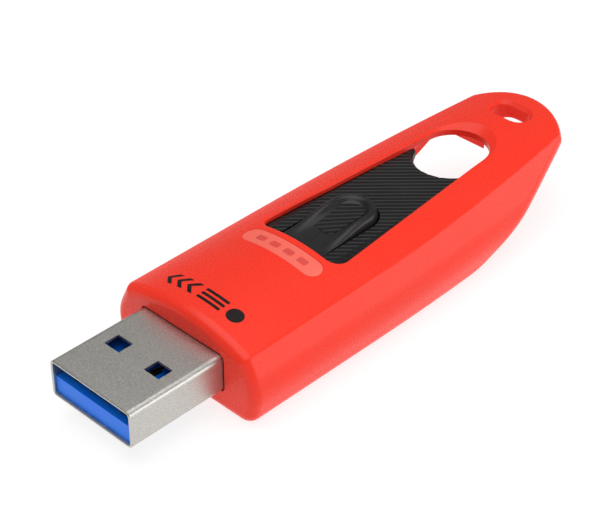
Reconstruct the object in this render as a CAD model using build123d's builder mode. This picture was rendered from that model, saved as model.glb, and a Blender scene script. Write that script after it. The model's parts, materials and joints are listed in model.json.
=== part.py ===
from build123d import *
from math import atan2, cos, degrees, radians, tan
import os

os.makedirs("parts", exist_ok=True)

# ---------------------------------------------------------------- driving dimensions (mm)
# +X is the way the plug points, +Z is up and Y runs across. The drive lies on z = 0.
closed_length = 56.8        # casing alone, plug drawn in
travel = 12.2               # stroke of the carriage, and length of plug that shows when out
overall_height = 10.65
plug_width = 12.0           # USB Standard-A plug
plug_height = 4.5
plug_sheet = 0.3
plug_length = 19.0

tip_x = (closed_length + travel) / 2
front_x = tip_x - travel
plug_z = 5.0                # middle of the plug above the base

# Casing
waist_half = 10.77          # half width at the waist, before the waist is rounded
waist_z = 4.5
upper_draft = 26.5          # degrees, sides above the waist
lower_draft = 13.3          # degrees, sides below the waist
crown_radius = 22.0         # the top is part of a cylinder nearly along X
crown_fall = 0.6            # the crown is this much lower at the front than at the tail
shoulder_x = 3.27           # the sides are parallel in front of here
flank_radius = 336.0
flank_turn = 5.87           # degrees
hip_radius = 3.1
hip_turn = 28.6
bend_x = -14.0              # behind here the underside climbs to the tail
climb = 21.9                # degrees
tightest = 0.3              # smallest radius where an inner outline turns the hip
wall = 1.3
cover_thickness = 1.2
roof_half = 4.6             # the ceiling is level this far from the middle
roof_slope = 0.35
ceiling_z = 9.2             # underside of the casing's top wall
front_ceiling_z = 8.5       # the same in front of the step
step_x = 7.6
tail_block_x = -27.75       # the tail is solid behind here
window_front_x = 5.7
window_front_half = 5.72
window_corner = 1.6
window_rear_x = -24.0
window_rear_radius = 3.9
dish_z = 9.9                # foot of the bevel round the window's rear end
dish_growth = 2.4
ring_x = -30.0              # keyring hole
ring_length = 5.0
ring_width = 2.8
ring_roof_z = 9.0           # underside of the roof round it
ring_pocket_shift = -0.3
ring_pocket_length = 5.2    # along X
ring_pocket_width = 7.4
ring_pocket_corner = 2.4
flare_z = 10.15             # foot of the keyring hole's flared rim

# Carriage
gap = 0.1                   # running clearance between the carriage and the casing
tray_half = 6.9
carriage_wall = 0.8
plate_top_z = ceiling_z - gap
plate_thickness = 1.0
carriage_front_x = front_x - wall - gap
carriage_floor_z = cover_thickness + 0.2
split_z = 5.0               # joint between the two halves of the carriage
runner_half = 7.9
runner_z = 5.8
runner_height = 0.8
runner_length = 23.0
notch_x = -15.0             # the carriage's rear edge is scooped out round the keyring hole
notch_radius = 4.2
ear_x = -17.8
ear_half = 5.4
ear_root_x = -13.4
waisted_x = -7.0
tray_rear_x = -7.8
cover_rear_x = -16.1
fit_gap = 0.05
rail_inner = 7.15
rail_front_x = 20.0
rail_rear_x = -21.0
opening_inset = 3.1         # from the waist to the hole in the base
rear_opening_inset = 1.5    # the same behind the bottom cover
lug_x = -4.6
lug_y = 5.6
lug_length = 1.0
lug_width = 0.5
lug_height = 1.35
pocket_top_z = 9.05
badge_x = 7.9
badge_y = 0.0
badge_length = 11.0
badge_width = 2.6
badge_depth = 0.12

# Thumb button
button_half = 3.0
button_rear_x = -5.6
button_root_x = 6.0
button_top_z = 10.25
button_gap = 0.2

# Board and chips
board_thickness = 0.8
board_top_z = 4.95
board_front_x = 15.0
board_rear_x = -4.4
board_half = 6.0
tongue_top_z = 5.15

# Plug details
spring_hole_x = 28.1        # windows in the shell
spring_hole_y = 2.97
spring_hole_length = 1.9
spring_hole_width = 2.2
leg_rear_x = 13.6
contact_thickness = 0.2
contact_tail_x = 13.4
blade_nose_x = 33.3
insulator_rear_x = 15.6
retainer_length = 3.0

# ---------------------------------------------------------------- shared outlines


def plan_at(height, inset):
    """Outline of the casing from above, moved inwards, on a level plane."""
    with BuildSketch(Plane.XY.offset(height)) as plan:
        with BuildLine():
            side = Line((front_x, waist_half - inset), (shoulder_x, waist_half - inset))
            flank = JernArc(side @ 1, side % 1, flank_radius - inset, flank_turn)
            hip = JernArc(flank @ 1, flank % 1, max(hip_radius - inset, tightest), hip_turn)
            turned = flank_turn + hip_turn
            tail_radius = (hip @ 1).Y / cos(radians(turned))
            JernArc(hip @ 1, hip % 1, tail_radius, 90 - turned)
            mirror(about=Plane.XZ)
            Line((front_x, waist_half - inset), (front_x, inset - waist_half))
        make_face()
    return plan.sketch


def above_underside(rise, shift=0.0):
    """Everything above the casing's underside, or above a surface parallel to it."""
    corner_x = bend_x + shift + rise * tan(radians(climb / 2))
    far_x = -60
    far_z = rise + (corner_x - far_x) * tan(radians(climb))
    with BuildPart() as block:
        with BuildSketch(Plane.XZ):
            with BuildLine():
                Polyline((60, rise), (corner_x, rise), (far_x, far_z), (far_x, 30), (60, 30), close=True)
            make_face()
            fillet(vertices().sort_by_distance((corner_x, rise))[0], radius=8)
        extrude(amount=20, both=True)
    return block.part


def drafted_block(inset, low_z, high_z):
    """The casing's plan between two heights, with its two drafts."""
    below = inset + (waist_z - low_z) * tan(radians(lower_draft))
    above = inset + (high_z - waist_z) * tan(radians(upper_draft))
    with BuildPart() as block:
        loft([plan_at(waist_z, inset), plan_at(high_z, above)], ruled=True)
        loft([plan_at(low_z, below), plan_at(waist_z, inset)], ruled=True)
    return block.part


def window_at(height, rear_growth=0.0):
    """The casing's window: two rounded front corners and a round rear end, which may be larger."""
    corner_y = window_front_half - window_corner
    rear_radius = window_rear_radius + rear_growth
    with BuildSketch(Plane.XY.offset(height)) as outline:
        with BuildLine():
            for y in (corner_y, -corner_y):
                CenterArc((window_front_x - window_corner, y), window_corner, 0, 360)
            CenterArc((window_rear_x + window_rear_radius, 0), rear_radius, 0, 360)
        make_hull()
    return outline.sketch


def button_plan(height, inset):
    """Outline of the thumb button: square at its root, round towards the tail."""
    with BuildSketch(Plane.XY.offset(height)) as outline:
        with Locations((button_rear_x + button_half, 0)):
            Circle(button_half - inset)
            Rectangle(
                button_root_x - inset - button_rear_x - button_half,
                2 * (button_half - inset),
                align=(Align.MIN, Align.CENTER),
            )
    return outline.sketch


def on_window_rim(point):
    """True for a point on the edge between the casing's top and the window's wall."""
    along = window_rear_x - 0.1 < point.X < window_front_x + 0.1
    return along and abs(point.Y) < 5.9 and point.Z > ceiling_z + 0.3


def span(low_x, high_x, high_z, low_z=0.0, half=15.0):
    """A plain box between two places along X, across the whole width."""
    with BuildPart() as box:
        with BuildSketch(Plane.XY.offset(low_z)):
            with Locations((low_x, 0)):
                Rectangle(high_x - low_x, 2 * half, align=(Align.MIN, Align.CENTER))
        extrude(amount=high_z - low_z)
    return box.part


def base_opening(inset):
    """The hole in the casing's base, from behind the front wall to the tail block."""
    with BuildPart() as opening:
        add(plan_at(-1, opening_inset + inset))
        extrude(amount=9)
        add(span(tail_block_x, front_x - wall - 0.3 - inset, 9, -2), mode=Mode.INTERSECT)
    return opening.part


def rear_opening():
    """The part of that hole behind the bottom cover, wider, which lets light through the casing."""
    with BuildPart() as opening:
        add(plan_at(-1, rear_opening_inset))
        extrude(amount=9)
        add(span(tail_block_x, cover_rear_x - 0.6, 9, -2), mode=Mode.INTERSECT)
        add(above_underside(cover_thickness + 0.1), mode=Mode.SUBTRACT)
    return opening.part


def roof(height, half):
    """Everything under a level roof whose sides slope down."""
    with BuildPart() as block:
        with BuildSketch(Plane.YZ):
            with BuildLine():
                Polyline(
                    (0, height),
                    (half, height),
                    (half + 6, height - 6 * roof_slope),
                    (half + 6, -2),
                    (0, -2),
                )
                mirror(about=Plane.YZ)
            make_face()
        extrude(amount=60, both=True)
    return block.part


def stepped_roof(inset):
    """Everything under the casing's ceiling, which steps down towards the front."""
    rear = roof(ceiling_z - inset, roof_half - inset) & span(-60, step_x - 1.5 * inset, 20, -2, 30)
    front = roof(front_ceiling_z - inset, roof_half - inset)
    return rear + front


# ---------------------------------------------------------------- upper casing
outer_top_z = overall_height + 0.5
inner_block = drafted_block(wall, 0.1, ceiling_z) & stepped_roof(0)


def crown(depth):
    """The cylinder whose top is the crown of the casing, or a surface below it."""
    middle_z = overall_height - crown_fall * tip_x / closed_length - crown_radius
    tilt = degrees(atan2(crown_fall, closed_length))
    with BuildPart() as cylinder:
        with BuildSketch(Plane.YZ.rotated((0, tilt, 0)).offset(0)):
            with Locations((0, middle_z)):
                Circle(crown_radius - depth)
        extrude(amount=60, both=True)
    return cylinder.part


with BuildPart() as window_tool:
    add(window_at(ceiling_z - 0.5))
    extrude(amount=outer_top_z - ceiling_z + 0.5)
window_cut = window_tool.part
with BuildPart() as dish_tool:
    loft([window_at(dish_z), window_at(outer_top_z, dish_growth)], ruled=True)
dish_cut = dish_tool.part
with BuildPart() as badge_tool:
    with BuildSketch(Plane.XY.offset(ceiling_z)):
        with Locations((badge_x, badge_y)):
            SlotOverall(badge_length, badge_width, rotation=90)
    extrude(amount=3)
    add(crown(badge_depth), mode=Mode.SUBTRACT)
badge_cut = badge_tool.part
with BuildPart() as upper_casing:
    add(drafted_block(0, 0, outer_top_z))
    fillet(upper_casing.edges().filter_by_position(Axis.Z, waist_z - 0.01, waist_z + 0.01), radius=5)
    add(above_underside(0), mode=Mode.INTERSECT)
    add(crown(0), mode=Mode.INTERSECT)
    under = upper_casing.faces().filter_by(lambda face: face.normal_at(face.center()).Z < -0.8)
    rims = under.edges().filter_by(lambda edge: edge.center().X < front_x - 1)
    outer_rims = rims.filter_by(lambda edge: abs(edge.center().Y) > 1 or edge.center().X < bend_x - 15)
    fillet(outer_rims, radius=1.8)
    top = upper_casing.faces().filter_by(GeomType.CYLINDER).sort_by(SortBy.AREA)[-1]
    fillet(top.edges().filter_by(lambda edge: edge.center().X < front_x - 1), radius=0.7)
    fillet(upper_casing.faces().sort_by(Axis.X)[-1].edges(), radius=1.2)

    # Cavity and the opening in the base, both clear of the solid tail
    add(inner_block & span(tail_block_x, front_x - wall, ceiling_z) & above_underside(cover_thickness),
        mode=Mode.SUBTRACT)
    add(base_opening(0), mode=Mode.SUBTRACT)
    add(rear_opening(), mode=Mode.SUBTRACT)

    # Relief in the side walls for the carriage's shoulders when it is drawn in
    relief = span(waisted_x - travel - 3 * gap, waisted_x - travel + 3, ceiling_z, 7, tray_half + gap)
    add(relief & stepped_roof(0), mode=Mode.SUBTRACT)

    # Slot in the tail for the carriage's ears
    ear_slot = span(ear_x - travel - 2 * gap, tail_block_x + 1, ceiling_z, 0, ear_half + 2 * gap)
    add(ear_slot & above_underside(cover_thickness), mode=Mode.SUBTRACT)

    # Rails that carry the runners of the carriage
    for side, outwards in ((1, Align.MIN), (-1, Align.MAX)):
        with BuildSketch(Plane.XY.offset(runner_z + runner_height / 2 + gap)):
            with Locations((rail_front_x, side * rail_inner)):
                Rectangle(rail_front_x - rail_rear_x, 1.4, align=(Align.MAX, outwards))
        extrude(amount=0.9)

    # Window
    add(window_cut, mode=Mode.SUBTRACT)
    rim = upper_casing.edges().filter_by(lambda edge: on_window_rim(edge.center()))
    fillet(rim, radius=0.25)
    # A dished bevel round its rear end, which runs out towards the front
    add(dish_cut, mode=Mode.SUBTRACT)

    # Mouth for the plug
    with BuildSketch(Plane.YZ.offset(front_x + 1)):
        with Locations((0, plug_z)):
            RectangleRounded(plug_width + 0.3, plug_height + 0.3, 0.7)
    extrude(amount=-wall - 2, mode=Mode.SUBTRACT)

    # The tail is hollowed from below round the keyring hole, which leaves a thin roof there
    with BuildSketch(Plane.XY):
        with Locations((ring_x + ring_pocket_shift, 0)):
            RectangleRounded(ring_pocket_length, ring_pocket_width, ring_pocket_corner)
    extrude(amount=ring_roof_z, mode=Mode.SUBTRACT)

    # Keyring hole with its flared rim
    with BuildSketch(Plane.XY):
        with Locations((ring_x, 0)):
            SlotOverall(ring_length, ring_width, rotation=90)
    extrude(amount=outer_top_z, mode=Mode.SUBTRACT)
    with BuildSketch(Plane.XY.offset(flare_z)):
        with Locations((ring_x, 0)):
            SlotOverall(ring_length, ring_width, rotation=90)
    with BuildSketch(Plane.XY.offset(outer_top_z)):
        with Locations((ring_x, 0)):
            flare = 2 * (outer_top_z - flare_z)
            SlotOverall(ring_length + flare, ring_width + flare, rotation=90)
    loft(ruled=True, mode=Mode.SUBTRACT)

    # Shallow blank panel in front of the window
    add(badge_cut, mode=Mode.SUBTRACT)

    # Detent pockets for the latch lugs, at both ends of the stroke
    with BuildSketch(Plane.XY.offset(pocket_top_z)):
        with Locations([(x, y) for x in (lug_x, lug_x - travel) for y in (lug_y, -lug_y)]):
            Rectangle(lug_length + 0.6, lug_width + 0.1)
    extrude(amount=-0.5, mode=Mode.SUBTRACT)
upper_casing.part.label = "upper_casing"
export_step(upper_casing.part, "parts/upper_casing.step")

# ---------------------------------------------------------------- bottom cover
snap_xs = (14.0, 4.0, -6.0)
cover_half = waist_half - opening_inset - fit_gap
with BuildPart() as bottom_cover:
    add(base_opening(fit_gap))
    add(span(cover_rear_x, front_x, 8, -2), mode=Mode.INTERSECT)
    add(above_underside(0), mode=Mode.INTERSECT)
    add(above_underside(cover_thickness), mode=Mode.SUBTRACT)
    # Snap tabs: a post at the edge with a barb that hooks over the casing's base flange
    for side in (1, -1):
        with BuildSketch(Plane.XY.offset(0.6)):
            with Locations([(x, side * (cover_half - 0.35)) for x in snap_xs]):
                Rectangle(3.0, 0.5)
        extrude(amount=1.5)
        with BuildSketch(Plane.XY.offset(cover_thickness + fit_gap)):
            with Locations([(x, side * (cover_half + 0.05)) for x in snap_xs]):
                Rectangle(2.4, 1.0)
        extrude(amount=0.6)
bottom_cover.part.label = "bottom_cover"
export_step(bottom_cover.part, "parts/bottom_cover.step")

# ---------------------------------------------------------------- carriage
inner_half = tray_half - carriage_wall
collar_rear_x = 16.5
inner_floor = above_underside(carriage_floor_z + carriage_wall, travel)
outer_floor = above_underside(carriage_floor_z, travel)
with BuildPart() as plug_tool:
    with BuildSketch(Plane.YZ.offset(collar_rear_x - 2)):
        with Locations((0, plug_z)):
            RectangleRounded(plug_width + 0.04, plug_height + 0.04, 0.6)
    extrude(amount=10)
plug_cut = plug_tool.part

with BuildPart() as carriage_lower:
    add(span(tray_rear_x, carriage_front_x, split_z, carriage_floor_z, tray_half) & outer_floor)
    add(span(tray_rear_x + 0.9, collar_rear_x, split_z, 1.5, inner_half) & inner_floor, mode=Mode.SUBTRACT)
    # Ledges that the board rests on
    for side in (1, -1):
        ledge_z = board_top_z - board_thickness
        with BuildSketch(Plane.XY.offset(carriage_floor_z + 0.4)):
            with Locations((board_front_x - 1.6, side * (inner_half - 0.3))):
                Rectangle(12.0, 0.8, align=(Align.MAX, Align.CENTER))
        extrude(amount=ledge_z - carriage_floor_z - 0.4)
    add(plug_cut, mode=Mode.SUBTRACT)
carriage_lower.part.label = "carriage_lower"
export_step(carriage_lower.part, "parts/carriage_lower.step")

with BuildPart() as carriage_upper:
    with BuildSketch(Plane.XY.offset(carriage_floor_z)):
        with BuildLine():
            Polyline(
                (carriage_front_x, 0),
                (carriage_front_x, tray_half),
                (waisted_x, tray_half),
                (ear_root_x, ear_half),
                (ear_x, ear_half),
                (ear_x, 0),
            )
            mirror(about=Plane.XZ)
        make_face()
    extrude(amount=plate_top_z - carriage_floor_z)
    add(outer_floor, mode=Mode.INTERSECT)
    add(stepped_roof(gap), mode=Mode.INTERSECT)
    add(span(tray_rear_x - fit_gap, 40, split_z + fit_gap), mode=Mode.SUBTRACT)
    fillet(carriage_upper.edges().filter_by(Axis.Z).sort_by(Axis.X)[0:2], radius=1.0)
    # Hollow above the board
    hollow_top = plate_top_z - plate_thickness
    front_hollow_top = hollow_top - ceiling_z + front_ceiling_z
    hollow = (span(-60, step_x - 1.2, hollow_top) + span(step_x - 1.2, 60, front_hollow_top)) & inner_floor
    rear_hollow = span(ear_root_x + 1.6, collar_rear_x, hollow_top, 2.0, ear_half - 0.8)
    add(rear_hollow & hollow, mode=Mode.SUBTRACT)
    add(span(waisted_x, collar_rear_x, hollow_top, 2.0, inner_half) & hollow, mode=Mode.SUBTRACT)
    add(plug_cut, mode=Mode.SUBTRACT)
    # Runners
    for side in (1, -1):
        with BuildSketch(Plane.XY.offset(runner_z - runner_height / 2)):
            with Locations((carriage_front_x - 0.6, side * (runner_half + tray_half) / 2)):
                Rectangle(runner_length, runner_half - tray_half + 0.2, align=(Align.MAX, Align.CENTER))
        extrude(amount=runner_height)
    # Rear edge scooped out round the keyring hole
    with BuildSketch(Plane.XY):
        with Locations((notch_x - notch_radius, 0)):
            Circle(notch_radius)
    extrude(amount=20, mode=Mode.SUBTRACT)
    notch_edge = carriage_upper.edges().filter_by(GeomType.CIRCLE).filter_by_position(
        Axis.Z, plate_top_z - 0.01, plate_top_z + 0.01
    ).sort_by(SortBy.RADIUS)[-1]
    chamfer(notch_edge, length=0.4)
    # Opening for the thumb button, and slots for its lugs
    add(button_plan(hollow_top - 0.5, -button_gap))
    extrude(amount=3, mode=Mode.SUBTRACT)
    with BuildSketch(Plane.XY.offset(hollow_top - 0.5)):
        with Locations([(lug_x, lug_y), (lug_x, -lug_y)]):
            Rectangle(lug_length + 0.8, lug_width + 0.4)
    extrude(amount=3, mode=Mode.SUBTRACT)
carriage_upper.part.label = "carriage_upper"
export_step(carriage_upper.part, "parts/carriage_upper.step")

# ---------------------------------------------------------------- thumb button
tongue_low_z = plate_top_z - 0.9
with BuildPart() as thumb_button:
    add(button_plan(tongue_low_z, 0.0))
    extrude(amount=0.88)
    loft([button_plan(plate_top_z - 0.2, 0.1), button_plan(button_top_z + 0.2, 0.65)], ruled=True)
    with BuildSketch(Plane.XZ):
        with BuildLine():
            Polyline(
                (4.9, plate_top_z),
                (8.0, plate_top_z),
                (8.0, 7.0),
                (-8.0, 7.0),
                (-8.0, 9.9),
                (-4.4, 10.2),
            )
            Spline(
                (-4.4, 10.2),
                (-2.6, 10.2),
                (1.0, 9.35),
                (4.9, plate_top_z),
                tangents=((1, 0.03), (1, -0.02)),
            )
        make_face()
    extrude(amount=6, both=True, mode=Mode.INTERSECT)
    # Scoop with cross ribs
    with BuildSketch(Plane.XY.offset(plate_top_z + 0.2)):
        with Locations((button_rear_x + button_half, 0)):
            Circle(button_half - 1.15)
            Rectangle(4.6, 2 * (button_half - 1.15), align=(Align.MIN, Align.CENTER))
    extrude(amount=3, taper=-8, mode=Mode.SUBTRACT)
    for index in range(5):
        with BuildSketch(Plane.XY.offset(plate_top_z)):
            with Locations((button_rear_x + 1.9 + 1.1 * index, 0)):
                Rectangle(0.35, 2 * (button_half - 1.2))
        extrude(amount=0.4)
    # Arms under the plate that end in the latch lugs
    with BuildSketch(Plane.XY.offset(tongue_low_z - 0.9)):
        with Locations((lug_x, 0)):
            Rectangle(lug_length, 2 * lug_y + lug_width)
    extrude(amount=0.7)
    with BuildSketch(Plane.XY.offset(tongue_low_z - 0.9)):
        with Locations((lug_x, 0)):
            Rectangle(lug_length, 3.0)
    extrude(amount=1.0)
    with BuildSketch(Plane.XY.offset(tongue_low_z - 0.9)):
        with Locations([(lug_x, lug_y), (lug_x, -lug_y)]):
            Rectangle(lug_length, lug_width)
    extrude(amount=lug_height)
thumb_button.part.label = "thumb_button"
export_step(thumb_button.part, "parts/thumb_button.step")

# ---------------------------------------------------------------- plug
plug_rear_x = tip_x - plug_length
inner_width = plug_width - 2 * plug_sheet
inner_height = plug_height - 2 * plug_sheet
with BuildPart() as plug_shell:
    with BuildSketch(Plane.YZ.offset(plug_rear_x)):
        with Locations((0, plug_z)):
            RectangleRounded(plug_width, plug_height, 0.6)
            RectangleRounded(inner_width, inner_height, 0.3, mode=Mode.SUBTRACT)
    extrude(amount=plug_length)
    chamfer(plug_shell.faces().sort_by(Axis.X)[-1].edges().sort_by(SortBy.LENGTH)[4:], length=0.08)
    # Windows for the socket's springs, through the top and the bottom
    with BuildSketch(Plane.XY):
        with Locations([(spring_hole_x, spring_hole_y), (spring_hole_x, -spring_hole_y)]):
            Rectangle(spring_hole_length, spring_hole_width)
    extrude(amount=20, mode=Mode.SUBTRACT)
    # Seam of the folded sheet with its dovetail, along the middle of the bottom
    with BuildSketch(Plane.XY.offset(plug_z - plug_height / 2 - 1)):
        with BuildLine():
            middle = (plug_rear_x + tip_x) / 2
            Polyline(
                (plug_rear_x - 1, 0),
                (middle - 1.2, 0),
                (middle - 1.6, 1.5),
                (middle + 1.6, 1.5),
                (middle + 1.2, 0),
                (tip_x + 1, 0),
            )
        trace(line_width=0.06)
    extrude(amount=1 + plug_sheet + 0.5, mode=Mode.SUBTRACT)
    # Legs soldered to the board
    for side in (1, -1):
        with BuildSketch(Plane.XY.offset(4.2)):
            with Locations((leg_rear_x, side * (plug_width - plug_sheet) / 2)):
                Rectangle(plug_rear_x - leg_rear_x, plug_sheet, align=(Align.MIN, Align.CENTER))
        extrude(amount=1.2)
plug_shell.part.label = "plug_shell"
export_step(plug_shell.part, "parts/plug_shell.step")

# Contacts: four blades along the tongue, and five sprung ones between and behind them
blade_low_z = tongue_top_z - contact_thickness
blade_names = ("vbus_contact", "data_minus_contact", "data_plus_contact", "ground_contact")
spring_names = (
    "receive_minus_contact",
    "receive_plus_contact",
    "drain_contact",
    "transmit_minus_contact",
    "transmit_plus_contact",
)
blade_ys = ((-3.5, -3.0), (-1.0, -1.0), (1.0, 1.0), (3.5, 3.0))
spring_ys = (-4.0, -2.0, 0.0, 2.0, 4.0)


def blade_contact(nose_y, tail_y, spread, low_z, thickness):
    """A flat contact, wide at the nose, that narrows to a tail soldered on the board."""
    with BuildPart() as blade:
        with BuildSketch(Plane.XY.offset(low_z)):
            with Locations((blade_nose_x + spread, nose_y)):
                Rectangle(7.0 + 2 * spread, 1.0 + 2 * spread, align=(Align.MAX, Align.CENTER))
            with Locations((blade_nose_x - 6.4 + spread, (nose_y + tail_y) / 2)):
                jog_width = 0.5 + abs(nose_y - tail_y) + 2 * spread
                Rectangle(0.9 + 2 * spread, jog_width, align=(Align.MAX, Align.CENTER))
            with Locations((contact_tail_x - spread, tail_y)):
                tail_run = blade_nose_x - 6.4 - contact_tail_x
                Rectangle(tail_run + 2 * spread, 0.5 + 2 * spread, align=(Align.MIN, Align.CENTER))
        extrude(amount=thickness)
    return blade.part


def spring_contact(y):
    """A sprung contact: flat along the board and the tongue, then a hump and a turned-down nose."""
    half = contact_thickness / 2
    level = tongue_top_z - half
    with BuildPart() as spring:
        with BuildSketch(Plane.XZ.offset(-y)):
            with BuildLine():
                tail = Line((contact_tail_x, level), (20.0, level))
                ramp = JernArc(tail @ 1, tail % 1, 6.0, 9)
                rise = Line(ramp @ 1, ramp @ 1 + (ramp % 1) * 3.4)
                hump = JernArc(rise @ 1, rise % 1, 0.8, -40)
                Line(hump @ 1, hump @ 1 + (hump % 1) * 0.6)
            trace(line_width=contact_thickness)
        extrude(amount=0.25, both=True)
    return spring.part


def label_and_write(solid, name):
    solid.label = name
    export_step(solid, f"parts/{name}.step")


grooves = []
for name, (nose_y, tail_y) in zip(blade_names, blade_ys):
    label_and_write(blade_contact(nose_y, tail_y, 0, blade_low_z, contact_thickness), name)
    grooves.append(blade_contact(nose_y, tail_y, 0.02, blade_low_z - 0.01, 1.0))
for name, y in zip(spring_names, spring_ys):
    label_and_write(spring_contact(y), name)

with BuildPart() as plug_insulator:
    insulator_low_z = plug_z - inner_height / 2 + 0.02
    with BuildSketch(Plane.XY.offset(insulator_low_z)):
        with Locations((insulator_rear_x, 0)):
            Rectangle(tip_x - 0.35 - insulator_rear_x, inner_width - 0.1, align=(Align.MIN, Align.CENTER))
    extrude(amount=tongue_top_z - insulator_low_z)
    lower_edges = plug_insulator.edges().filter_by(Axis.X).group_by(Axis.Z)[0]
    fillet(lower_edges, radius=0.35)
    for groove in grooves:
        add(groove, mode=Mode.SUBTRACT)
    with BuildSketch(Plane.XY.offset(tongue_top_z - 0.35)):
        with Locations([(insulator_rear_x, y) for y in spring_ys]):
            Rectangle(26.4 - insulator_rear_x, 0.6, align=(Align.MIN, Align.CENTER))
    extrude(amount=1, mode=Mode.SUBTRACT)
label_and_write(plug_insulator.part, "plug_insulator")

with BuildPart() as contact_retainer:
    with BuildSketch(Plane.XY.offset(tongue_top_z + 0.01)):
        with Locations((insulator_rear_x, 0)):
            Rectangle(retainer_length, inner_width - 0.1, align=(Align.MIN, Align.CENTER))
    extrude(amount=plug_z + inner_height / 2 - 0.02 - tongue_top_z - 0.01)
    fillet(contact_retainer.edges().filter_by(Axis.X).group_by(Axis.Z)[-1], radius=0.35)
    chamfer(contact_retainer.faces().sort_by(Axis.X)[-1].edges().filter_by(Axis.Y), length=0.2)
label_and_write(contact_retainer.part, "contact_retainer")

# ---------------------------------------------------------------- circuit board and its parts
board_low_z = board_top_z - board_thickness
with BuildPart() as circuit_board:
    with BuildSketch(Plane.XY.offset(board_low_z)):
        with Locations((board_rear_x, 0)):
            Rectangle(board_front_x - board_rear_x, 2 * board_half, align=(Align.MIN, Align.CENTER))
        fillet(vertices().group_by(Axis.X)[0], radius=0.8)
        with Locations([(board_front_x, board_half), (board_front_x, -board_half)]):
            Rectangle(3.2, 1.0, mode=Mode.SUBTRACT)
    extrude(amount=board_thickness)
label_and_write(circuit_board.part, "circuit_board")


def package(x, y, length, width, height, on_top):
    """A moulded chip package on either face of the board, with a pin-one dimple."""
    base = board_top_z if on_top else board_low_z - height
    face_z = base + height if on_top else base
    with BuildPart() as chip:
        with BuildSketch(Plane.XY.offset(base)):
            with Locations((x, y)):
                Rectangle(length, width)
        extrude(amount=height)
        chamfer(chip.edges().filter_by(Axis.Z), length=0.12)
        with BuildSketch(Plane.XY.offset(face_z)):
            with Locations((x - length / 2 + 0.9, y - width / 2 + 0.9)):
                Circle(0.35)
        extrude(amount=-0.08 if on_top else 0.08, mode=Mode.SUBTRACT)
    return chip.part


def chip_row(places, length, width, height, on_top):
    """Small two-ended components, one solid each."""
    base = board_top_z if on_top else board_low_z - height
    with BuildPart() as row:
        with BuildSketch(Plane.XY.offset(base)):
            with Locations(places):
                Rectangle(length, width)
        extrude(amount=height)
        fillet(row.edges().filter_by(Axis.Z), radius=0.08)
    return row.part


label_and_write(package(2.4, 0, 13.0, 11.5, 0.9, True), "flash_memory_chip")
label_and_write(package(7.0, 0, 6.0, 6.0, 0.85, False), "controller_chip")
label_and_write(package(12.0, 2.6, 2.9, 1.6, 1.0, False), "voltage_regulator")

with BuildPart() as crystal:
    with BuildSketch(Plane.XY.offset(board_low_z - 0.7)):
        with Locations((1.4, 2.9)):
            RectangleRounded(3.2, 2.5, 0.25)
    extrude(amount=0.7)
    fillet(crystal.edges().group_by(Axis.Z)[0], radius=0.12)
label_and_write(crystal.part, "crystal")

with BuildPart() as power_inductor:
    with BuildSketch(Plane.XY.offset(board_low_z - 1.0)):
        with Locations((1.4, -2.9)):
            RectangleRounded(2.5, 2.0, 0.3)
    extrude(amount=1.0)
label_and_write(power_inductor.part, "power_inductor")

label_and_write(chip_row([(10.6, -2.0), (10.6, -1.0)], 1.0, 0.5, 0.5, True), "coupling_capacitors")
bypass_places = [(12.2, -3.6), (12.2, -2.2), (12.2, -0.8), (3.2, 0.6), (3.2, -0.6)]
label_and_write(chip_row(bypass_places, 1.0, 0.5, 0.5, False), "bypass_capacitors")
resistor_places = [(10.6, 1.0), (10.6, 2.0), (10.6, 3.0)]
label_and_write(chip_row(resistor_places, 1.0, 0.5, 0.35, True), "chip_resistors")
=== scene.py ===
import json
import math

import bmesh
import bpy
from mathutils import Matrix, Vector
from mathutils.bvhtree import BVHTree

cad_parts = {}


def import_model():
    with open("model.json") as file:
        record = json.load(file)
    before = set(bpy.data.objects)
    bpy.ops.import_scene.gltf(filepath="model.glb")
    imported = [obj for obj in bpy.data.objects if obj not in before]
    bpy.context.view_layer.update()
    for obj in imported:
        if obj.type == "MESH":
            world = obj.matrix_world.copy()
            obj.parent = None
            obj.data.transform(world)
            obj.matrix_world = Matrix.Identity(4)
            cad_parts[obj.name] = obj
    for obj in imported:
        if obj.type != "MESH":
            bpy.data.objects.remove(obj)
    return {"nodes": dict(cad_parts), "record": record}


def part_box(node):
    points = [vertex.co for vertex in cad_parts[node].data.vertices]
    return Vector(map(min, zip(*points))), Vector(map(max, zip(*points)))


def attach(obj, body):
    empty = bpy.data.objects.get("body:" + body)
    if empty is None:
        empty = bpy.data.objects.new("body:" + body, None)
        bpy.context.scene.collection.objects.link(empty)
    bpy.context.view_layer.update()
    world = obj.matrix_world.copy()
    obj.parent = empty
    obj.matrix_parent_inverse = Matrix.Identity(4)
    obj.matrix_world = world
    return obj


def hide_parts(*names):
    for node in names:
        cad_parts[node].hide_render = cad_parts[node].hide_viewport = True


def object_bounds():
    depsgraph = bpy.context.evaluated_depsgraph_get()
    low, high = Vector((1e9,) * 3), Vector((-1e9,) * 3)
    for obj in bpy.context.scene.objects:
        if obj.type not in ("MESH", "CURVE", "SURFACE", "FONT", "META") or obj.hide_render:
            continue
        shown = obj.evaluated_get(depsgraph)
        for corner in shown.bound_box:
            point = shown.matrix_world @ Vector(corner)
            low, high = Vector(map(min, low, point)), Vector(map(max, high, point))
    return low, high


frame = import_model()
cad_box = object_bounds()

MM = 0.001
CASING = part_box("upper_casing")
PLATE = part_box("carriage_upper")
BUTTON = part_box("thumb_button")
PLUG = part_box("plug_shell")
plug_z = (PLUG[0][2] + PLUG[1][2]) / 2
front_x = CASING[1][0]


# ---------------------------------------------------------------- material nodes
def material_with_shader(name):
    """An empty node material with its Principled shader and a noise-ready coordinate node."""
    material = bpy.data.materials.new(name)
    material.use_nodes = True
    nodes = material.node_tree.nodes
    shader = nodes["Principled BSDF"]
    place = nodes.new("ShaderNodeTexCoord")
    return material, nodes, material.node_tree.links, shader, place


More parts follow.
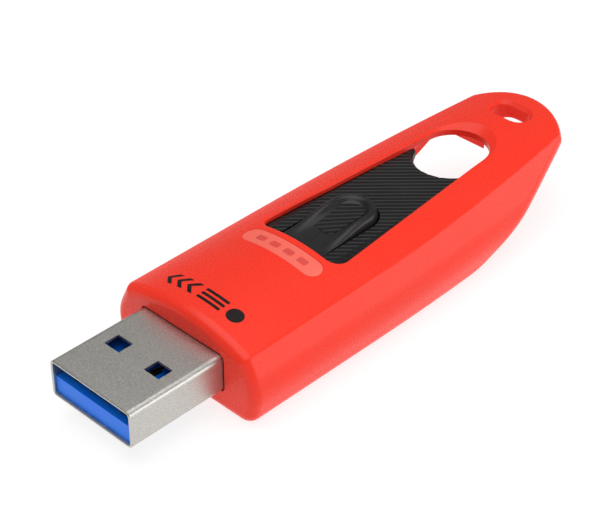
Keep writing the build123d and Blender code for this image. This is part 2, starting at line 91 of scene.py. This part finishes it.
def noise(nodes, links, place, grain, detail=3.0, stretch=(1, 1, 1)):
    """Noise whose grain is about the given size in mm, drawn out along an axis if asked."""
    mapping = nodes.new("ShaderNodeMapping")
    mapping.inputs["Scale"].default_value = stretch
    links.new(place.outputs["Object"], mapping.inputs["Vector"])
    texture = nodes.new("ShaderNodeTexNoise")
    texture.inputs["Scale"].default_value = 1 / (grain * MM)
    texture.inputs["Detail"].default_value = detail
    links.new(mapping.outputs["Vector"], texture.inputs["Vector"])
    return texture.outputs["Fac"]


def spread(nodes, links, value, low, high):
    """A texture value stretched over a range of numbers."""
    node = nodes.new("ShaderNodeMapRange")
    node.inputs["From Min"].default_value = 0.3
    node.inputs["From Max"].default_value = 0.7
    node.inputs["To Min"].default_value = low
    node.inputs["To Max"].default_value = high
    links.new(value, node.inputs["Value"])
    return node.outputs["Result"]


def blend_colours(nodes, links, value, first, second):
    """Two colours mixed by a texture value."""
    ramp = nodes.new("ShaderNodeValToRGB")
    ramp.color_ramp.elements[0].position = 0.3
    ramp.color_ramp.elements[0].color = (*first, 1)
    ramp.color_ramp.elements[1].position = 0.7
    ramp.color_ramp.elements[1].color = (*second, 1)
    links.new(value, ramp.inputs["Fac"])
    return ramp.outputs["Color"]


def bump(nodes, links, value, shader, depth):
    """Fine relief of about the given depth in mm."""
    node = nodes.new("ShaderNodeBump")
    node.inputs["Strength"].default_value = 1.0
    node.inputs["Distance"].default_value = depth * MM
    links.new(value, node.inputs["Height"])
    links.new(node.outputs["Normal"], shader.inputs["Normal"])


def plastic(name, first, second, rough, mottle=4.0, grain=0.12, relief=0.002, coat=0.0, specular=0.5):
    """Moulded plastic: slow colour mottle, a fine moulded grain and uneven gloss."""
    material, nodes, links, shader, place = material_with_shader(name)
    slow = noise(nodes, links, place, mottle, 2.0)
    fine = noise(nodes, links, place, grain, 4.0)
    links.new(blend_colours(nodes, links, slow, first, second), shader.inputs["Base Color"])
    links.new(spread(nodes, links, fine, *rough), shader.inputs["Roughness"])
    bump(nodes, links, fine, shader, relief)
    shader.inputs["Specular IOR Level"].default_value = specular
    shader.inputs["Coat Weight"].default_value = coat
    shader.inputs["Coat Roughness"].default_value = 0.06
    return material


def metal(name, first, second, rough, grain=0.18, relief=0.003, stretch=(1, 1, 1)):
    """Plated sheet metal with a visible grain."""
    material, nodes, links, shader, place = material_with_shader(name)
    fine = noise(nodes, links, place, grain, 6.0, stretch)
    links.new(blend_colours(nodes, links, fine, first, second), shader.inputs["Base Color"])
    links.new(spread(nodes, links, fine, *rough), shader.inputs["Roughness"])
    bump(nodes, links, fine, shader, relief)
    shader.inputs["Metallic"].default_value = 1.0
    return material


red = plastic(
    "casing_red_gloss", (1.0, 0.038, 0.017), (0.95, 0.043, 0.021),
    (0.24, 0.32), 6.0, 0.16, 0.0008, 0.0, 0.25,
)
dark_red = plastic(
    "base_red_satin", (0.90, 0.036, 0.018), (0.84, 0.043, 0.023),
    (0.30, 0.40), 5.0, 0.14, 0.0015, 0.0, 0.3,
)
pale_red = plastic(
    "badge_red_matte", (1.0, 0.140, 0.095), (0.95, 0.155, 0.110),
    (0.48, 0.60), 2.0, 0.08, 0.0025,
)
mark_red = plastic(
    "badge_marks", (0.80, 0.060, 0.045), (0.70, 0.065, 0.050),
    (0.45, 0.60), 1.0, 0.08, 0.002,
)
ink = plastic(
    "printed_ink", (0.007, 0.005, 0.005), (0.014, 0.008, 0.007),
    (0.30, 0.45), 0.6, 0.06, 0.001, 0.0, 0.2,
)
plate_black = plastic(
    "plate_black", (0.006, 0.006, 0.007), (0.010, 0.010, 0.011),
    (0.28, 0.40), 3.0, 0.09, 0.0015, 0.0, 0.25,
)
body_black = plastic(
    "carriage_black_satin", (0.008, 0.008, 0.009), (0.013, 0.013, 0.014),
    (0.34, 0.46), 3.0, 0.12, 0.002, 0.0, 0.3,
)
button_black = plastic(
    "button_black_satin", (0.010, 0.010, 0.011), (0.016, 0.016, 0.017),
    (0.30, 0.40), 2.0, 0.10, 0.0015, 0.0, 0.35,
)
blue = plastic(
    "insulator_blue", (0.002, 0.185, 1.0), (0.004, 0.205, 0.92),
    (0.30, 0.42), 2.5, 0.08, 0.001, 0.0, 0.3,
)
steel = metal("plug_steel_satin", (0.41, 0.40, 0.37), (0.68, 0.665, 0.63), (0.30, 0.46), 0.13, 0.0035)
gold = metal(
    "contact_gold", (0.80, 0.56, 0.22), (0.90, 0.68, 0.32),
    (0.20, 0.32), 0.10, 0.001, (0.3, 1, 1),
)
can = metal("crystal_can", (0.62, 0.62, 0.60), (0.74, 0.73, 0.70), (0.22, 0.34), 0.12, 0.001)
board = plastic(
    "board_green", (0.012, 0.115, 0.040), (0.020, 0.165, 0.060),
    (0.25, 0.38), 0.9, 0.10, 0.003,
)
epoxy = plastic("chip_epoxy", (0.016, 0.016, 0.017), (0.030, 0.030, 0.031), (0.42, 0.58), 0.8, 0.06, 0.002)
ferrite = plastic(
    "ferrite_grey", (0.055, 0.055, 0.058), (0.090, 0.088, 0.086),
    (0.45, 0.62), 0.5, 0.06, 0.003,
)
ceramic = plastic("ceramic_tan", (0.40, 0.25, 0.13), (0.52, 0.35, 0.20), (0.30, 0.45), 0.4, 0.05, 0.001)

finish_of_slot = {
    "casing_red": red,
    "carriage_black": body_black,
    "plug_steel": steel,
    "insulator_blue": blue,
    "contact_gold": gold,
    "board_green": board,
    "chip_black": epoxy,
    "crystal_can": can,
    "ferrite_grey": ferrite,
    "ceramic_tan": ceramic,
}
for part in frame["record"]["subparts"]:
    node = frame["nodes"][part["node"]]
    finish = dark_red if part["node"] == "bottom_cover" else finish_of_slot[part["material_slot"]]
    node.data.materials.clear()
    node.data.materials.append(finish)


# ---------------------------------------------------------------- mesh helpers
def new_piece(name, mesh_data, material, body, smooth=True):
    """A finished piece from bmesh data, riding on a body."""
    mesh = bpy.data.meshes.new(name)
    mesh_data.to_mesh(mesh)
    mesh_data.free()
    piece = bpy.data.objects.new(name, mesh)
    bpy.context.scene.collection.objects.link(piece)
    mesh.materials.append(material)
    for face in mesh.polygons:
        face.use_smooth = smooth
    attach(piece, body)
    return piece


def surface_of(node_name):
    """A search tree over a CAD node's faces, to lay thin pieces on it."""
    mesh = frame["nodes"][node_name].data
    mesh.calc_loop_triangles()
    return BVHTree.FromPolygons(
        [vertex.co.copy() for vertex in mesh.vertices],
        [tuple(triangle.vertices) for triangle in mesh.loop_triangles],
    )


def height_on(tree, x, y):
    """Height of a surface straight below a point above the object."""
    hit = tree.ray_cast(Vector((x, y, cad_box[1][2] + MM)), Vector((0, 0, -1)))
    return hit[0].z


def rounded_outline(half_x, half_y, radius, steps=6):
    """Points of a rectangle with round corners, in order."""
    points = []
    for corner in range(4):
        sign_x = (1, -1, -1, 1)[corner]
        sign_y = (1, 1, -1, -1)[corner]
        for step in range(steps + 1):
            angle = math.radians(90 * corner + 90 * step / steps)
            x = sign_x * (half_x - radius) + radius * math.cos(angle)
            y = sign_y * (half_y - radius) + radius * math.sin(angle)
            points.append((x, y))
    return points


def laid_patch(name, outlines, tree, lift, thickness, material, body, cell):
    """Thin flat shapes cut to outlines (x, y) and laid on a surface, with closed sides."""
    data = bmesh.new()
    for outline in outlines:
        rim = [data.verts.new((x, y, 0)) for x, y in outline]
        data.faces.new(rim)
    low_x = min(vertex.co.x for vertex in data.verts)
    high_x = max(vertex.co.x for vertex in data.verts)
    low_y = min(vertex.co.y for vertex in data.verts)
    high_y = max(vertex.co.y for vertex in data.verts)
    for axis, low, high in ((Vector((1, 0, 0)), low_x, high_x), (Vector((0, 1, 0)), low_y, high_y)):
        cuts = int((high - low) / cell)
        for index in range(1, cuts + 1):
            geometry = data.verts[:] + data.edges[:] + data.faces[:]
            bmesh.ops.bisect_plane(data, geom=geometry, plane_co=axis * (low + index * cell), plane_no=axis)
    tops = data.faces[:]
    for vertex in data.verts:
        vertex.co.z = height_on(tree, vertex.co.x, vertex.co.y) + lift
    made = bmesh.ops.extrude_face_region(data, geom=tops)
    for item in made["geom"]:
        if isinstance(item, bmesh.types.BMVert):
            item.co.z += thickness
    bmesh.ops.recalc_face_normals(data, faces=data.faces)
    return new_piece(name, data, material, body, smooth=False)


# ---------------------------------------------------------------- ribs
ACROSS_RIBS = Vector((math.sqrt(0.5), math.sqrt(0.5), 0))
RIB_PITCH = 0.66 * MM
RIB_STRIPS = 6


def cut_for_ribs(data):
    """Cuts faces into strips along the ribs, so that the ribs can be raised."""
    reach = [vertex.co.dot(ACROSS_RIBS) for vertex in data.verts]
    strip = RIB_PITCH / RIB_STRIPS
    first = math.ceil(min(reach) / strip)
    last = math.floor(max(reach) / strip)
    for index in range(first, last + 1):
        geometry = data.verts[:] + data.edges[:] + data.faces[:]
        bmesh.ops.bisect_plane(
            data, geom=geometry, dist=1e-7, plane_co=ACROSS_RIBS * (index * strip), plane_no=ACROSS_RIBS
        )


def rib_wave(point):
    """From 0 in the narrow groove between two ribs to 1 on a rib's flat top."""
    across = (point.dot(ACROSS_RIBS) / RIB_PITCH) % 1.0
    return min(1.0, min(across, 1.0 - across) * RIB_STRIPS)


def ribbed_plate():
    """Fine ribs across the top of the carriage, raised as real relief."""
    relief = 0.07 * MM
    top_z = PLATE[1][2]
    data = bmesh.new()
    data.from_mesh(frame["nodes"]["carriage_upper"].data)
    step_x = 7.4 * MM

    def is_top(face):
        middle = face.calc_center_median()
        return face.normal.z >= 0.9 and middle.z >= top_z - 0.9 * MM and middle.x <= step_x

    others = [face for face in data.faces if not is_top(face)]
    bmesh.ops.delete(data, geom=others, context="FACES")
    bmesh.ops.remove_doubles(data, verts=data.verts, dist=0.001 * MM)
    bmesh.ops.dissolve_limit(data, angle_limit=0.01, verts=data.verts, edges=data.edges)
    cut_for_ribs(data)
    tops = data.faces[:]
    under = bmesh.ops.extrude_face_region(data, geom=tops)
    raised = {item for item in under["geom"] if isinstance(item, bmesh.types.BMVert)}
    for vertex in data.verts:
        if vertex in raised:
            vertex.co.z += relief * (0.1 + 0.9 * rib_wave(vertex.co))
        else:
            vertex.co.z -= 0.02 * MM
    bmesh.ops.recalc_face_normals(data, faces=data.faces)
    return new_piece("ribbed_plate", data, plate_black, "carriage", smooth=False)


# ---------------------------------------------------------------- thumb button
def smooth_step(value, low, high):
    t = min(max((value - low) / (high - low), 0), 1)
    return t * t * (3 - 2 * t)


def thumb_pad():
    """The thumb button: a raised pad, round at the rear, with a scoop, and its arms under the plate."""
    rear_x = BUTTON[0][0]
    root_x = BUTTON[1][0]
    top_z = BUTTON[1][2]
    plate_z = PLATE[1][2]
    half = 3.0 * MM
    centre_x = rear_x + half
    ramp_end_x = 4.9 * MM
    side_steps = 16
    arc_steps = 40
    front_steps = 10

    def rise(x):
        return (top_z - plate_z) * (1 - smooth_step(x, rear_x + 3.4 * MM, ramp_end_x))

    def outline(inset):
        points = []
        front_x_here = root_x - inset * 0.6
        side_y = max(half - inset, 0.02 * MM)
        for step in range(side_steps):
            points.append((front_x_here + (centre_x - front_x_here) * step / side_steps, side_y))
        for step in range(arc_steps + 1):
            angle = math.radians(90 + 180 * step / arc_steps)
            points.append((centre_x + side_y * math.cos(angle), side_y * math.sin(angle)))
        for step in range(1, side_steps + 1):
            points.append((centre_x + (front_x_here - centre_x) * step / side_steps, -side_y))
        for step in range(1, front_steps):
            points.append((front_x_here, -side_y + 2 * side_y * step / front_steps))
        return points

    # Each ring: inset in mm, share of the rim's height
    rings = (
        (0.02, 0.30), (0.10, 0.62), (0.24, 0.85), (0.44, 0.97), (0.62, 1.00), (0.82, 0.98), (0.98, 0.88),
        (1.14, 0.70), (1.34, 0.55), (1.60, 0.47), (2.00, 0.42), (2.50, 0.40), (2.95, 0.40),
    )
    data = bmesh.new()
    loops = []
    low_z = plate_z - 0.86 * MM
    for inset, share in ((0.0, None), (0.0, 0.0)) + rings:
        loop = []
        for x, y in outline(inset * MM):
            z = low_z if share is None else plate_z + share * rise(x)
            loop.append(data.verts.new((x, y, z)))
        loops.append(loop)
    for lower, upper in zip(loops, loops[1:]):
        count = len(lower)
        for index in range(count):
            after = (index + 1) % count
            data.faces.new((lower[index], lower[after], upper[after], upper[index]))
    data.faces.new(loops[-1])
    data.faces.new(reversed(loops[0]))
    # The arms that carry the latch lugs, as the CAD button has them
    arm_low_z = BUTTON[0][2]
    arm_half_x = 0.5 * MM
    lug_x = -4.6 * MM
    lug_y = BUTTON[1][1]
    lug_width = 0.5 * MM
    arm_height = 0.7 * MM
    lug_height = 1.35 * MM
    arm_profile = (
        (-lug_y, arm_low_z), (lug_y, arm_low_z), (lug_y, arm_low_z + lug_height),
        (lug_y - lug_width, arm_low_z + lug_height), (lug_y - lug_width, arm_low_z + arm_height),
        (lug_width - lug_y, arm_low_z + arm_height), (lug_width - lug_y, arm_low_z + lug_height),
        (-lug_y, arm_low_z + lug_height),
    )
    near = [data.verts.new((lug_x - arm_half_x, y, z)) for y, z in arm_profile]
    far = [data.verts.new((lug_x + arm_half_x, y, z)) for y, z in arm_profile]
    for index in range(len(near)):
        after = (index + 1) % len(near)
        data.faces.new((near[index], near[after], far[after], far[index]))
    data.faces.new(near)
    data.faces.new(far)
    post_top_z = low_z + 0.05 * MM
    post_low_z = arm_low_z + arm_height - 0.05 * MM
    post_half_y = 1.5 * MM
    corners = ((-1, -1), (1, -1), (1, 1), (-1, 1))
    post = [
        [data.verts.new((lug_x + a * arm_half_x, b * post_half_y, z)) for a, b in corners]
        for z in (post_low_z, post_top_z)
    ]
    for index in range(4):
        after = (index + 1) % 4
        data.faces.new((post[0][index], post[0][after], post[1][after], post[1][index]))
    data.faces.new(post[0])
    data.faces.new(post[1])
    bmesh.ops.recalc_face_normals(data, faces=data.faces)
    piece = new_piece("thumb_pad", data, button_black, "thumb_button")
    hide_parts("thumb_button")
    return piece


def scoop_ribs():
    """Ribs on the floor of the button's scoop, laid on the pad."""
    mesh = bpy.data.objects["thumb_pad"].data
    tree = BVHTree.FromPolygons(
        [vertex.co.copy() for vertex in mesh.vertices],
        [tuple(polygon.vertices) for polygon in mesh.polygons],
    )
    rear_x = BUTTON[0][0]
    half = 3.0 * MM - 1.45 * MM
    centre_x = rear_x + 3.0 * MM
    front = centre_x + 4.4 * MM
    points = [(front, half * 0.8)]
    for step in range(25):
        angle = math.radians(90 + 180 * step / 24)
        points.append((centre_x + half * math.cos(angle), half * math.sin(angle)))
    points.append((front, -half * 0.8))
    data = bmesh.new()
    data.faces.new([data.verts.new((x, y, 0)) for x, y in points])
    cut_for_ribs(data)
    tops = data.faces[:]
    under = bmesh.ops.extrude_face_region(data, geom=tops)
    raised = {item for item in under["geom"] if isinstance(item, bmesh.types.BMVert)}
    for vertex in data.verts:
        floor_z = height_on(tree, vertex.co.x, vertex.co.y)
        wave = rib_wave(vertex.co) if vertex in raised else -0.6
        vertex.co.z = floor_z + 0.05 * MM * wave
    bmesh.ops.recalc_face_normals(data, faces=data.faces)
    return new_piece("scoop_ribs", data, plate_black, "thumb_button", smooth=False)


# ---------------------------------------------------------------- badge and printed mark
def capsule(centre, half_x, half_y, steps=10):
    return [
        (centre[0] + x, centre[1] + y)
        for x, y in rounded_outline(half_x, half_y, min(half_x, half_y) * 0.98, steps)
    ]


def bar(centre, half_x, half_y, radius):
    return [(centre[0] + x, centre[1] + y) for x, y in rounded_outline(half_x, half_y, radius, 4)]


def chevron(x, y, half_height, depth, thickness):
    """An arrow head without a shaft that points along -Y."""
    return [
        (x - half_height, y),
        (x, y - depth),
        (x + half_height, y),
        (x + half_height, y + thickness),
        (x, y - depth + thickness),
        (x - half_height, y + thickness),
    ]


def badge():
    """A matte panel set flush in the recess, with four plain bars on it."""
    tree = surface_of("upper_casing")
    centre = (7.9 * MM, 0.0)
    depth = 0.12 * MM
    panel = [capsule(centre, 1.25 * MM, 5.45 * MM)]
    laid_patch("badge_panel", panel, tree, -0.02 * MM, depth, pale_red, "casing", 0.7 * MM)
    bar_ys = (-3.0, -1.0, 1.0, 3.0)
    bars = [bar((centre[0], centre[1] + y * MM), 0.42 * MM, 0.62 * MM, 0.2 * MM) for y in bar_ys]
    laid_patch("badge_bars", bars, tree, 0.09 * MM, 0.022 * MM, mark_red, "casing", 0.4 * MM)


def printed_mark():
    """A generic black mark: a disc, three bars and three chevrons."""
    tree = surface_of("upper_casing")
    x = 18.9 * MM
    shapes = [capsule((x, 4.35 * MM), 0.95 * MM, 0.95 * MM, 12)]
    bar_shifts = (-0.7, 0.0, 0.7)
    shapes += [bar((x + shift * MM, 1.15 * MM), 0.19 * MM, 1.65 * MM, 0.15 * MM) for shift in bar_shifts]
    shapes += [chevron(x, y * MM, 0.95 * MM, 0.95 * MM, 0.62 * MM) for y in (-1.7, -3.2, -4.7)]
    laid_patch("printed_mark", shapes, tree, -0.01 * MM, 0.022 * MM, ink, "casing", 0.4 * MM)


ribbed_plate()
thumb_pad()
scoop_ribs()
badge()
printed_mark()

# ---------------------------------------------------------------- light, floor and camera
def area_light(name, place, target, size, brightness):
    """A rectangular softbox of the given brightness, where 1 is the white of the background."""
    light = bpy.data.lights.new(name, "AREA")
    light.shape = "RECTANGLE"
    light.size = size[0]
    light.size_y = size[1]
    light.energy = brightness * math.pi * size[0] * size[1]
    lamp = bpy.data.objects.new(name, light)
    lamp.location = place
    lamp.rotation_euler = (Vector(target) - Vector(place)).to_track_quat("-Z", "Y").to_euler()
    bpy.context.scene.collection.objects.link(lamp)
    return lamp


def floor():
    material, nodes, links, shader, place = material_with_shader("floor_white")
    shade = noise(nodes, links, place, 60.0, 2.0)
    grey = blend_colours(nodes, links, shade, (0.25, 0.25, 0.25), (0.27, 0.27, 0.27))
    links.new(grey, shader.inputs["Base Color"])
    shader.inputs["Emission Color"].default_value = (1, 1, 1, 1)
    shader.inputs["Emission Strength"].default_value = 0.8
    shader.inputs["Roughness"].default_value = 0.9
    shader.inputs["Specular IOR Level"].default_value = 0.1
    data = bmesh.new()
    half = 3.0
    corners = ((-half, -half), (half, -half), (half, half), (-half, half))
    data.faces.new([data.verts.new((x, y, 0)) for x, y in corners])
    mesh = bpy.data.meshes.new("floor")
    data.to_mesh(mesh)
    data.free()
    mesh.materials.append(material)
    piece = bpy.data.objects.new("floor", mesh)
    piece.location.z = cad_box[0][2] - 0.02 * MM
    bpy.context.scene.collection.objects.link(piece)


def world():
    surroundings = bpy.data.worlds.new("studio")
    bpy.context.scene.world = surroundings
    surroundings.use_nodes = True
    background = surroundings.node_tree.nodes["Background"]
    background.inputs["Color"].default_value = (1, 1, 1, 1)
    background.inputs["Strength"].default_value = 0.25


def camera():
    """The viewpoint: azimuth and elevation in degrees, distance from the casing's mouth in mm."""
    azimuth = math.radians(134.418)
    elevation = math.radians(36.15)
    distance = 178.23
    focal_px = 1752.7
    frame_width = 600
    aim_offset = (-117.576, -82.058)
    back = Vector((
        math.sin(azimuth) * math.cos(elevation),
        -math.cos(azimuth) * math.cos(elevation),
        math.sin(elevation),
    ))
    right = Vector((math.cos(azimuth), math.sin(azimuth), 0))
    up = back.cross(right)
    mouth = Vector((front_x, 0, plug_z))
    per_px = distance / focal_px
    place = mouth + (back * distance - right * aim_offset[0] * per_px - up * aim_offset[1] * per_px) * MM
    data = bpy.data.cameras.new("camera")
    data.sensor_width = 36
    data.lens = focal_px / frame_width * data.sensor_width
    data.clip_start = 0.01
    data.clip_end = 20
    view = bpy.data.objects.new("camera", data)
    view.rotation_mode = "QUATERNION"
    view.rotation_quaternion = (-back).to_track_quat("-Z", "Y")
    view.location = place
    bpy.context.scene.collection.objects.link(view)
    bpy.context.scene.camera = view


floor()
world()
camera()
area_light("top_softbox", (0.05, 0.0, 0.5), (0, 0, 0), (0.6, 0.6), 2.1)
area_light("side_softbox", (-0.30, 0.42, 0.10), (0, 0, 0.005), (0.5, 0.35), 2.3)
bpy.context.scene.view_settings.view_transform = "Standard"
